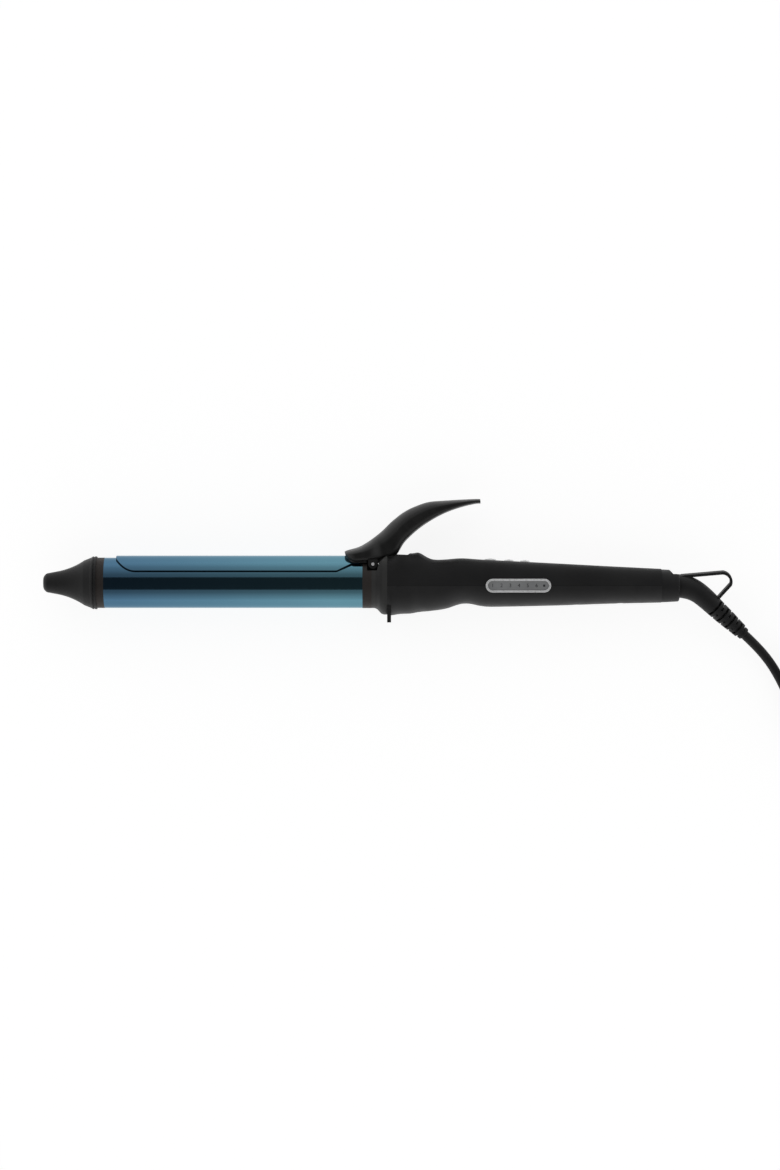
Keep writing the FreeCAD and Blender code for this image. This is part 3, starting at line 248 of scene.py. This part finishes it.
def coated(name):
    """Glossy coated barrel: blue near the tip, greener near the handle, finely polished round. The
    shift along it is partly the coating's own hue and partly painted light: it grows lighter towards
    the handle to stand in for brighter light on that end.
    """
    look = Look(name, (0.1, 0.2, 0.3), 0.2, 1.0)
    toward_handle = look.along("X", at(46.6, 0, 0).x, at(186.6, 0, 0).x)
    # Painted light: the handle end's colour is greener and also lighter, and the lightening stands in
    # for brighter light there.
    hue_and_painted_light = look.mix(toward_handle, (0.076, 0.172, 0.272), (0.12, 0.274, 0.345))
    look.set("Specular Tint", (0.75, 0.85, 0.9, 1))
    cloudy = look.noise(22, 3, (0.6, 1, 1))
    darker = look.mix(look.remap(cloudy, 0.3, 0.7, 0, 0.16), hue_and_painted_light, (0.05, 0.11, 0.17))
    look.colour(darker)
    look.rough(look.noise(240, 4, (1, 0.25, 0.25)), 0.09, 0.13)
    look.bump(look.noise(1500, 2, (1, 0.04, 0.04)), 0.05, 0.00001)
    return look.material


def shell_look(name, colour, shine):
    """Handle's satin black with the fine groove where its two shells meet."""
    look = Look(name, colour, 0.44)
    look.set("Specular IOR Level", shine)
    lighter = tuple(channel * 1.25 for channel in colour)
    ground = look.mix(look.remap(look.noise(45, 3), 0.3, 0.7, 0, 1), colour, lighter)
    parting = at(0, -2.0, 0).y
    half_wide = 0.0002
    below = look.along("Y", parting - half_wide, parting)
    above = look.along("Y", parting + half_wide, parting)
    groove = look.nodes.new("ShaderNodeMath")
    groove.operation = "MULTIPLY"
    look.links.new(below, groove.inputs[0])
    look.links.new(above, groove.inputs[1])
    look.colour(look.mix(groove.outputs[0], ground, (0.014, 0.014, 0.014)))
    look.rough(look.noise(160, 4), 0.39, 0.49)
    look.bump(look.noise(2600, 2), 0.25, 0.00002)
    look.bump(look.remap(groove.outputs[0], 0, 1, 1, 0), 0.6, 0.0001)
    return look.material


def housing_painted_highlight_look():
    """Front housing's satin black, with painted highlights: a little lighter in two bands round its
    flare, standing in for light caught by its front chamfer and rear step.
    """
    dark, light = (0.041, 0.041, 0.041), (0.06, 0.06, 0.059)
    look = Look("housing_black", dark, 0.44)
    look.set("Specular IOR Level", 0.12)
    # Painted highlights: masks that lighten the housing ahead of station 211.5 and behind 214.3.
    front = look.along("X", at(211.5, 0, 0).x, at(210.0, 0, 0).x)
    rear = look.along("X", at(214.3, 0, 0).x, at(215.6, 0, 0).x)
    painted_highlight_bands = look.nodes.new("ShaderNodeMath")
    painted_highlight_bands.operation = "MAXIMUM"
    look.links.new(front, painted_highlight_bands.inputs[0])
    look.links.new(rear, painted_highlight_bands.inputs[1])
    cloudy = look.mix(look.remap(look.noise(60, 3), 0.3, 0.7, 0, 0.3), light, dark)
    look.colour(look.mix(painted_highlight_bands.outputs[0], dark, cloudy))
    look.rough(look.noise(160, 4), 0.39, 0.49)
    look.bump(look.noise(2600, 2), 0.25, 0.00002)
    return look.material


def floor_look():
    """Matt white card, lit a little from below so that it stays pale."""
    look = Look("floor", (0.32, 0.32, 0.32), 0.95)
    look.set("Specular IOR Level", 0.0)
    look.set("Emission Color", (1, 1, 1, 1))
    look.set("Emission Strength", 0.87)
    return look.material


def make_looks():
    """Every material by name: one for each of the record's slots, and those of single pieces."""
    return {
        "black_plastic": moulded("satin_black", SATIN_BLACK, 0.44),
        "lever": moulded("lever_black", (0.011, 0.011, 0.011), 0.42, shine=0.5),
        "housing": housing_painted_highlight_look(),
        # Lit and shaded copies of one satin black: the lower shell's higher shine is a painted sheen
        # for soft light from below, and the upper shell's low shine keeps its top dark.
        "shell_upper": shell_look("shell_black", (0.027, 0.027, 0.0275), 0.05),
        "shell_lower": shell_look("lower_shell_black", (0.026, 0.026, 0.0265), 0.26),
        "stand": moulded("stand_black", (0.008, 0.008, 0.008), 0.5),
        "pin_end": brushed("pin_end", (0.9, 0.9, 0.91), 0.35, (1, 1, 0.2), 0.1),
        "insulator": moulded("heat_resistant", (0.036, 0.031, 0.029), 0.5, 1800),
        "titanium": coated("coated_barrel"),
        "silver_trim": brushed("silver_trim", (0.94, 0.945, 0.95), 0.35, (1, 1, 0.2), 0.1),
        "bright_rim": brushed("bright_rim", (0.94, 0.945, 0.95), 0.3, (1, 1, 0.2), 0.2),
        # Painted light: the buttons glow faintly though they are no lamp.
        "button_face": painted_glow(
            brushed("button_face", (0.95, 0.955, 0.96), 0.35, (1, 1, 0.2), 0.0), 0.18),
        "display_lens": moulded("smoked_window", (0.31, 0.315, 0.32), 0.2, 400, 0.00001, 0.05),
        "steel": brushed("steel", (0.5, 0.5, 0.51), 0.3, (1, 1, 0.1)),
        "aluminium": brushed("aluminium", (0.7, 0.71, 0.72), 0.35, (0.1, 1, 1)),
        "ceramic": moulded("ceramic", (0.8, 0.78, 0.74), 0.6, 1500),
        "brass": brushed("brass", (0.72, 0.52, 0.22), 0.25, (1, 0.1, 1)),
        "circuit_board": moulded("circuit_board", (0.02, 0.12, 0.05), 0.35, 900),
        "lamp": moulded("lamp", (0.8, 0.79, 0.76), 0.15, 600),
        "switch_plastic": moulded("switch_plastic", (0.03, 0.03, 0.03), 0.4),
        "lead_sleeve": moulded("lead_sleeve", (0.42, 0.38, 0.33), 0.8, 1200),
        "cord_rubber": moulded("cord_rubber", (0.018, 0.018, 0.0185), 0.48, 1600),
        "tie": moulded("tie", (0.012, 0.012, 0.013), 0.85, 900, 0.0002, 0.8),
        # Painted shade: a near-black rim colour that stands in for the shadow gap under the clamp
        # plate's edge.
        "clamp_rim_shade": moulded("clamp_rim_shade", (0.004, 0.010, 0.018), 0.35, 1200),
        "mark": moulded("mark", (0.05, 0.052, 0.055), 0.3, 900),
    }


def dress(looks):
    """Every CAD node takes the material of its slot, and a few a material of their own."""
    for row in frame["record"]["subparts"]:
        node = NODES[row["node"]]
        node.data.materials.clear()
        node.data.materials.append(looks[row["material_slot"]])
    special = {"handle_shell_upper": "shell_upper", "handle_shell_lower": "shell_lower",
               "front_housing": "housing", "lever": "lever", "stand_plate": "stand",
               "hinge_pin": "pin_end", "power_button": "button_face", "up_button": "button_face",
               "down_button": "button_face"}
    for name, look in special.items():
        NODES[name].data.materials[0] = looks[look]


# ---- the cord ----

RELIEF_END = at(445.737, -32.885, 9.087)
RELIEF_WAY = Vector((0.7314, -0.6617, -0.1650))
CORD_WIDE = 0.006
COIL_MIDDLE = (519.0, -72.0)


def coil_points():
    """Turns of the put-away cord: three beside each other, three on them and one and a half on top."""
    # radius and height of each turn
    turns = ((42.2, 4.1), (36.1, 4.1), (30.0, 4.1), (30.0, 10.1), (36.1, 10.1), (42.2, 10.1),
             (36.2, 16.0), (36.2, 16.0), (36.2, 16.0))
    first_angle = 200.0
    last_angle = 360.0 * 8
    steps = 16
    still = 0.72
    spread = 1 / math.cos(math.pi / steps)
    count = round((last_angle - first_angle) / 360 * steps)
    points = []
    for step in range(count + 1):
        angle = first_angle + (last_angle - first_angle) * step / count
        turn = (angle - first_angle) / 360
        index = int(turn)
        part = min(1.0, max(0.0, (turn - index - still) / (1 - still)))
        part = part * part * (3 - 2 * part)
        radius = turns[index][0] + (turns[index + 1][0] - turns[index][0]) * part
        height = turns[index][1] + (turns[index + 1][1] - turns[index][1]) * part
        points.append(at(COIL_MIDDLE[0] + radius * spread * math.cos(math.radians(angle)),
                         COIL_MIDDLE[1] + radius * spread * math.sin(math.radians(angle)), height))
    return points


def cord_route():
    """Control points of the whole cord, from inside the strain relief to inside the plug."""
    run = [RELIEF_END - RELIEF_WAY * 0.004, RELIEF_END + RELIEF_WAY * 0.009,
           at(461.9, -49.6, 5.4), at(469.0, -61.2, 4.3), at(475.0, -74.2, 4.1)]
    end = [at(555.6, -62.0, 16.2), at(556.5, -52.0, 16.2), at(559.3, -40.0, 13.4),
           at(561.3, -29.5, 10.0), at(562.0, -20.5, 7.9), at(PLUG_STATION, -12.25, PLUG_HEIGHT),
           at(PLUG_STATION, -8.5, PLUG_HEIGHT)]
    return run + coil_points() + end


def nurbs(name, points, radius):
    """Curve object of one open smooth spline through a route's control points."""
    data = bpy.data.curves.new(name, "CURVE")
    data.dimensions = "3D"
    data.bevel_depth = radius
    data.bevel_resolution = 5
    data.resolution_u = 6
    spline = data.splines.new("NURBS")
    spline.points.add(len(points) - 1)
    for point, place in zip(spline.points, points):
        point.co = (*place, 1)
    spline.order_u = 3
    spline.use_endpoint_u = True
    curve = bpy.data.objects.new(name, data)
    bpy.context.scene.collection.objects.link(curve)
    return curve


def as_mesh(curve):
    """The curve's surface as a mesh object of the same name, and the points of its line."""
    bevel = curve.data.bevel_depth
    curve.data.bevel_depth = 0
    bpy.context.view_layer.update()
    line = bpy.data.meshes.new_from_object(curve.evaluated_get(bpy.context.evaluated_depsgraph_get()))
    path = [vertex.co.copy() for vertex in line.vertices]
    curve.data.bevel_depth = bevel
    bpy.context.view_layer.update()
    data = bpy.data.meshes.new_from_object(
        curve.evaluated_get(bpy.context.evaluated_depsgraph_get()))
    name = curve.name
    bpy.data.objects.remove(curve)
    return add_mesh(name, data), path


def add_mesh(name, data):
    """Mesh object in the scene with smooth faces."""
    piece = bpy.data.objects.new(name, data)
    bpy.context.scene.collection.objects.link(piece)
    for face in data.polygons:
        face.use_smooth = True
    return piece


def make_cord(looks, ends):
    """Free mains cord from the strain relief through its coil into the plug."""
    cord, path = as_mesh(nurbs("mains_cord", cord_route(), CORD_WIDE / 2))
    cord.data.materials.clear()
    cord.data.materials.append(looks["cord_rubber"])
    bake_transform(cord)
    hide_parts("cord_run", "cord_coil", "cord_end")


# ---- clamp, display, buttons, tie and plug details ----

CLAMP_START = 46.5
CLAMP_CURVE = 12.7
CLAMP_CURVE_END = 59.2
CLAMP_SLANT = 9.9
CLAMP_SLANT_START = 186.3
CLAMP_SLANT_END = 196.2


def clamp_edge(station):
    """Side of the clamp plate's long edge, which curves up at the front and slants up at the back."""
    low, rear, rise = 7.7, 12.6, 8.0
    if station < CLAMP_CURVE_END:
        return low + rise * (1 - (station - CLAMP_START) / CLAMP_CURVE) ** 2.1
    if station > CLAMP_SLANT_END:
        return rear
    if station > CLAMP_SLANT_START:
        return low + (rear - low) * (station - CLAMP_SLANT_START) / CLAMP_SLANT
    return low


def make_clamp(looks):
    """Thin curved clamp plate with rounded rims, coated outside, with painted shade along its rim for
    the shadow gap under its edge.
    """
    outer = 17.3
    stations = [CLAMP_START + CLAMP_CURVE * (step / 14) ** 1.5 for step in range(14)]
    stations += [CLAMP_CURVE_END + 4.0 * step for step in range(31)] + [181.5, 184.5, 185.9, 186.7]
    stations += [186.7 + 9.0 * step / 6 for step in range(1, 7)] + [196.6, 198.5, 200.5]
    columns = 56
    built = bmesh.new()
    grid = []
    for station in stations:
        reach = math.acos(clamp_edge(station) / outer)
        row = []
        for column in range(columns + 1):
            angle = reach * (2 * column / columns - 1)
            row.append(built.verts.new(at(station, outer * math.cos(angle),
                                          AXIS_HEIGHT + outer * math.sin(angle))))
        grid.append(row)
    for row, after in zip(grid, grid[1:]):
        for column in range(columns):
            built.faces.new((row[column], row[column + 1], after[column + 1], after[column]))
    plate = new_piece("clamp_sheet", built, looks["titanium"], "clamp")
    # Painted shade on the rims, and through the bevel on their rounding too.
    plate.data.materials.append(looks["clamp_rim_shade"])
    thick = plate.modifiers.new("thickness", "SOLIDIFY")
    thick.thickness = 0.0011
    thick.offset = -1
    thick.use_even_offset = True
    thick.material_offset_rim = 1
    rim = plate.modifiers.new("rim", "BEVEL")
    rim.width = 0.0005
    rim.material = 1
    rim.segments = 3
    rim.limit_method = "ANGLE"
    rim.angle_limit = math.radians(50)
    rim.harden_normals = True
    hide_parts("clamp_plate")


def new_piece(name, built, look, body):
    """Mesh object from a bmesh, smooth, with its material and body."""
    bmesh.ops.recalc_face_normals(built, faces=built.faces)
    data = bpy.data.meshes.new(name)
    built.to_mesh(data)
    built.free()
    piece = add_mesh(name, data)
    data.materials.append(look)
    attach(piece, body)
    return piece


def surface_under(node):
    """Function that drops a point straight down onto a CAD node."""
    tree = BVHTree.FromPolygons([vertex.co for vertex in NODES[node].data.vertices],
                                [face.vertices for face in NODES[node].data.polygons])

    def drop(point):
        found = tree.ray_cast(Vector((point.x, point.y, 0.1)), Vector((0, 0, -1)))[0]
        return found if found else point
    return drop


def make_display_marks(looks):
    """Heat numbers 1 to 6 and a small lock square, printed behind the window."""
    drop = surface_under("display_lens")
    built = bmesh.new()
    digit_high = 0.0023
    first_station, pitch = 284.9, 5.54
    square_station, square_half = 317.4, 0.0007
    above_window, below_window = 0.00004, 0.00002
    for index in range(6):
        data = bpy.data.curves.new("number", "FONT")
        data.body = str(index + 1)
        data.size = digit_high / 0.7
        data.align_x = "CENTER"
        data.align_y = "CENTER"
        data.resolution_u = 3
        text = bpy.data.objects.new("number", data)
        bpy.context.scene.collection.objects.link(text)
        bpy.context.view_layer.update()
        flat = bpy.data.meshes.new_from_object(
            text.evaluated_get(bpy.context.evaluated_depsgraph_get()))
        place = at(first_station + pitch * index, DISPLAY_SIDE, HIGH_ABOVE)
        flat.transform(Matrix.Translation(place))
        built.from_mesh(flat)
        bpy.data.objects.remove(text)
        bpy.data.meshes.remove(flat)
    middle = at(square_station, DISPLAY_SIDE, HIGH_ABOVE)
    built.faces.new([built.verts.new(middle + Vector((across, up, 0)) * square_half)
                     for across, up in CORNERS])
    for vertex in built.verts:
        vertex.co = drop(vertex.co) + UP * above_window
    thick = bmesh.ops.extrude_face_region(built, geom=list(built.faces))
    for item in thick["geom"]:
        if isinstance(item, bmesh.types.BMVert):
            item.co -= UP * (above_window + below_window)
    marks = new_piece("display_marks", built, looks["mark"], "handle")
    for face in marks.data.polygons:
        face.use_smooth = False


def make_bezel(looks):
    """Domed bright rim round the display window."""
    drop = surface_under("display_bezel")
    middle, half_long, half_high, middle_radius = 301.15, 20.55, 4.2, 3.65
    # distance from the end's centre, and height over the window's edge
    profile = ((4.3, -0.7), (4.3, -0.1), (4.12, 0.14), (3.75, 0.26), (3.35, 0.22), (3.05, 0.02),
               (2.95, -0.25), (2.95, -0.7))
    core = half_long - half_high
    steps = 28
    built = bmesh.new()
    rings = []
    for end in (1, -1):
        for step in range(steps + 1):
            angle = math.pi * (step / steps - 0.5) + (0 if end > 0 else math.pi)
            way = Vector((math.cos(angle), math.sin(angle)))
            centre = middle + end * core
            ridge = drop(at(centre + way.x * middle_radius, DISPLAY_SIDE + way.y * middle_radius,
                            HIGH_ABOVE))
            rings.append([built.verts.new(Vector((
                *at(centre + way.x * radius, DISPLAY_SIDE + way.y * radius, 0).xy,
                ridge.z + rise / 1000))) for radius, rise in profile])
    for ring, after in zip(rings, rings[1:] + rings[:1]):
        for index in range(len(profile)):
            onward = (index + 1) % len(profile)
            built.faces.new((ring[index], ring[onward], after[onward], after[index]))
    rim = new_piece("display_rim", built, looks["bright_rim"], "handle")
    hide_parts("display_bezel")


def make_skirt(looks):
    """Lower edges of the lever's saddle, which reach round the clamp plate on both sides."""
    inner, outer, tall = 17.38, 18.0, 3
    nose, round_end = 192.9, 197.4
    edge_side, edge_rise = 12.55, 3.2
    stations = [nose + 0.9 * step for step in range(15)]
    built = bmesh.new()
    for sign in (-1, 1):
        grid = []
        for station in stations:
            early = max(0.0, (round_end - station) / (round_end - nose))
            low = edge_side + edge_rise * early ** 1.8
            row = []
            for radius, reach in ((inner, low + tall), (inner, low), (outer, low + 0.15),
                                  (outer, low + tall)):
                high = math.sqrt(max(0.0, radius ** 2 - reach ** 2))
                row.append(built.verts.new(at(station, reach, AXIS_HEIGHT + sign * high)))
            grid.append(row)
        for row, after in zip(grid, grid[1:]):
            for index in range(4):
                onward = (index + 1) % 4
                built.faces.new((row[index], row[onward], after[onward], after[index]))
        built.faces.new(grid[0])
        built.faces.new(grid[-1])
    new_piece("lever_skirt", built, looks["lever"], "clamp")


def make_guard_ends(looks):
    """Front ends and sills of the hinge guards, which close up to the collar's step and flat."""
    reach, thick = 8.25, 1.04
    # middle station, middle side, length and height of an end and a sill
    blocks = ((205.83, 10.51, 0.63, 5.78), (206.95, 7.82, 2.86, 0.4))
    built = bmesh.new()
    for sign in (-1, 1):
        for station, side, long, high in blocks:
            made = bmesh.ops.create_cube(built, size=1.0)
            for vertex in made["verts"]:
                vertex.co = at(station + long * vertex.co.x, side + high * vertex.co.y,
                               AXIS_HEIGHT + sign * reach + thick * vertex.co.z)
    ends = new_piece("guard_ends", built, looks["housing"], "handle")
    for face in ends.data.polygons:
        face.use_smooth = False


def make_webs(looks):
    """Two thin webs under the lever, beside its ears, which reach down into the housing's channel."""
    pin_station, pin_side = 209.2, 11.8
    # behind the pin and beside it
    outline = ((2.8, 0.42), (4.3, 0.89), (9.3, 2.44), (13.0, 3.58), (13.0, 5.6), (9.3, 4.9),
               (4.3, 3.2), (2.8, 2.4))
    built = bmesh.new()
    for sign in (-1, 1):
        faces = []
        for reach in (8.9, 9.7):
            faces.append([built.verts.new(at(pin_station + along, pin_side + side,
                                             AXIS_HEIGHT + sign * reach))
                          for along, side in outline])
            built.faces.new(faces[-1])
        for index in range(len(outline)):
            onward = (index + 1) % len(outline)
            built.faces.new((faces[0][index], faces[0][onward], faces[1][onward], faces[1][index]))
    webs = new_piece("lever_webs", built, looks["lever"], "clamp")
    for face in webs.data.polygons:
        face.use_smooth = False


def make_symbols(looks):
    """Power ring, plus and minus, raised a little on the three buttons."""
    def bar(built, middle, long, wide):
        built.faces.new([built.verts.new(middle + Vector((across * long / 2, 0, up * wide / 2)))
                         for across, up in CORNERS])

    def ring(built, middle, radius, wide):
        steps = 24
        gap = math.radians(50)
        rows = []
        for step in range(steps + 1):
            angle = math.pi / 2 + gap + (2 * math.pi - 2 * gap) * step / steps
            way = Vector((math.cos(angle), 0, math.sin(angle)))
            rows.append([built.verts.new(middle + way * (radius + side * wide / 2))
                         for side in (-1, 1)])
        for first, second in zip(rows, rows[1:]):
            built.faces.new((first[0], first[1], second[1], second[0]))

    line, bar_long, raised = 0.0003, 0.0019, 0.00012
    for name in ("power", "up", "down"):
        low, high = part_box(name + "_button")
        middle = Vector(((low.x + high.x) / 2, high.y, (low.z + high.z) / 2))
        built = bmesh.new()
        if name == "power":
            ring(built, middle, 0.00095, line)
            bar(built, middle + Vector((0, 0, 0.0008)), line, 0.0011)
        else:
            bar(built, middle, bar_long, line)
        if name == "up":
            bar(built, middle, line, bar_long)
        lifted = bmesh.ops.extrude_face_region(built, geom=list(built.faces))
        for item in lifted["geom"]:
            if isinstance(item, bmesh.types.BMVert):
                item.co += Vector((0, raised, 0))
        symbol = new_piece(name + "_symbol", built, looks["mark"], name + "_button")
        for face in symbol.data.polygons:
            face.use_smooth = False


def hull_loop(centres, radius, steps=6):
    """Closed loop round circles of one radius, whose centres go round anticlockwise."""
    loop = []
    count = len(centres)
    for index in range(count):
        before, here, after = (Vector(centres[(index + shift) % count]) for shift in (-1, 0, 1))
        first = (here - before).normalized()
        second = (after - here).normalized()
        start = math.atan2(-first.x, first.y)
        turn = -first.angle_signed(second)
        for step in range(steps + 1):
            angle = start + math.pi + turn * step / steps
            loop.append(here + radius * Vector((math.cos(angle), math.sin(angle))))
    return loop


def make_tie(looks):
    """Soft strap pulled round the coil's turns, a little rounded along its edges."""
    bundle = [(30, 4.1), (42.2, 4.1), (42.2, 10.1), (36.2, 16.0), (30, 10.1)]
    bundle_middle, lowest, half_wide = 8, 0.1, 4.0
    inner = hull_loop(bundle, 3.12)
    outer = hull_loop(bundle, 3.92)
    widths = [-half_wide, -3.7, -1.5, 1.5, 3.7, half_wide]
    built = bmesh.new()
    rings = []
    for loop, rounding, order in ((inner, 0.0, widths), (outer, 0.18, widths[::-1])):
        for across in order:
            inward = rounding if abs(across) == half_wide else 0.0
            ring = []
            for point in loop:
                height = point.y + (inward if point.y < bundle_middle else -inward)
                ring.append(built.verts.new(at(COIL_MIDDLE[0] + across, COIL_MIDDLE[1] + point.x,
                                               max(lowest, height))))
            rings.append(ring)
    for ring, after in zip(rings, rings[1:] + rings[:1]):
        for index in range(len(ring)):
            onward = (index + 1) % len(ring)
            built.faces.new((ring[index], ring[onward], after[onward], after[index]))
    tie = new_piece("coil_strap", built, looks["tie"], "handle")
    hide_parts("cord_tie")
    return tie


PLUG_STEPS = 64


def plug_section(along, grow):
    """Points round the plug at a distance along it."""
    wide, high, power = 0.0117 + 0.000045 * (along - 15) + grow, 0.0072 + grow, 2.75
    points = []
    for step in range(PLUG_STEPS):
        angle = 2 * math.pi * step / PLUG_STEPS
        cosine, sine = math.cos(angle), math.sin(angle)
        points.append(Vector((wide * math.copysign(abs(cosine) ** (2 / power), cosine), 0,
                              high * math.copysign(abs(sine) ** (2 / power), sine))))
    return points


def make_plug_ribs(looks):
    """Four moulded grip ribs round the plug's body."""
    built = bmesh.new()
    # distance from the rib's middle in mm, and its height over the plug in metres
    profile = ((-0.7, -0.00025), (-0.5, 0.00004), (-0.2, 0.00016), (0.2, 0.00016), (0.5, 0.00004),
               (0.7, -0.00025))
    for along in (14.5, 17.5, 20.5, 23.5):
        rings = []
        for ahead, grow in profile:
            middle = at(PLUG_STATION, PLUG_REAR_SIDE + along + ahead, PLUG_HEIGHT)
            rings.append([built.verts.new(middle + point) for point in plug_section(along, grow)])
        for ring, after in zip(rings, rings[1:]):
            for index in range(PLUG_STEPS):
                onward = (index + 1) % PLUG_STEPS
                built.faces.new((ring[index], ring[onward], after[onward], after[index]))
    return new_piece("plug_ribs", built, looks["cord_rubber"], "handle")


make_camera()
LOOKS = make_looks()
dress(LOOKS)
make_cord(LOOKS, [make_tie(LOOKS), make_plug_ribs(LOOKS), NODES["plug_body"], NODES["plug_blades"]])
make_clamp(LOOKS)
make_bezel(LOOKS)
make_display_marks(LOOKS)
make_symbols(LOOKS)
make_skirt(LOOKS)
make_guard_ends(LOOKS)
make_webs(LOOKS)
make_light()
make_floor(floor_look())
